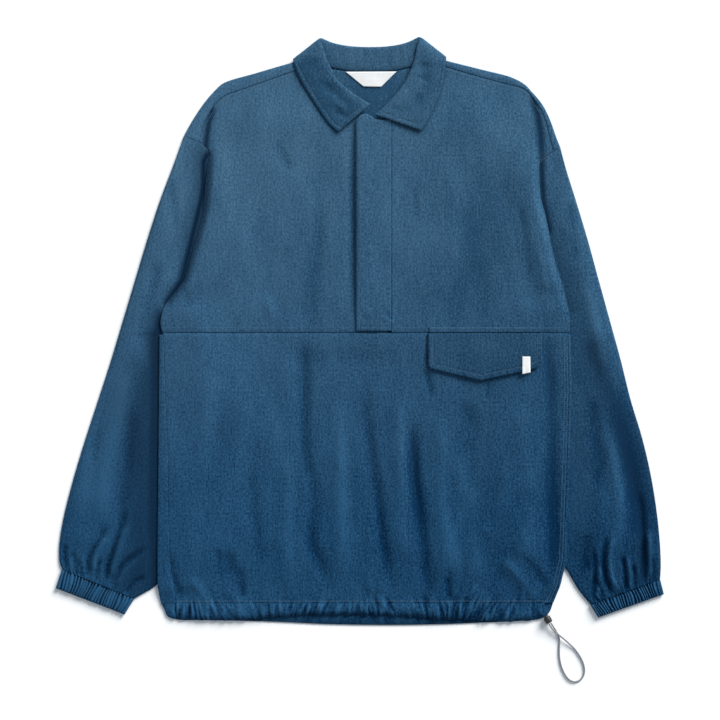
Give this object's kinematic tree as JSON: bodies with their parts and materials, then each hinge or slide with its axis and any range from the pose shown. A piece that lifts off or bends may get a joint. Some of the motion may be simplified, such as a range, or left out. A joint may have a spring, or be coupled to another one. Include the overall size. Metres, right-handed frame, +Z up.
{
  "type": "pullover overshirt",
  "caption": "Half-placket pullover overshirt laid flat, with a turned-down collar, a pocket flap in its waist seam, elastic cuffs and a drawcord hem.",
  "frame": {"origin": "middle of the base of the shirt's bounding box, on the surface it lies on; the drawcord isn't counted", "axes": "+Z up, away from the surface, +Y towards the neck, +X towards the sleeve on the picture's right"},
  "size_m": [0.8216, 0.8733, 0.0116],
  "materials": {
    "upper_cotton": "heathered blue cotton, matt",
    "lower_cotton": "darker blue cotton, matt",
    "white_ribbon": "bare white woven ribbon",
    "black_plastic": "moulded black plastic",
    "grey_cord": "round braided light grey cord"
  },
  "bodies": {
    "root": {"back": "upper_cotton", "front_left": "upper_cotton", "front_right": "upper_cotton", "placket": "upper_cotton", "front_lower": "lower_cotton", "hem_front": "lower_cotton", "hem_back": "lower_cotton", "collar": "upper_cotton", "neck_label": "white_ribbon", "sleeve_left": "lower_cotton", "sleeve_right": "lower_cotton", "cuff_left": "lower_cotton", "cuff_right": "lower_cotton", "pocket_welt": "upper_cotton", "pocket_flap": "upper_cotton", "flap_tab": "white_ribbon", "draw_cord": "grey_cord", "cord_lock": "black_plastic"}
  },
  "joints": []
}
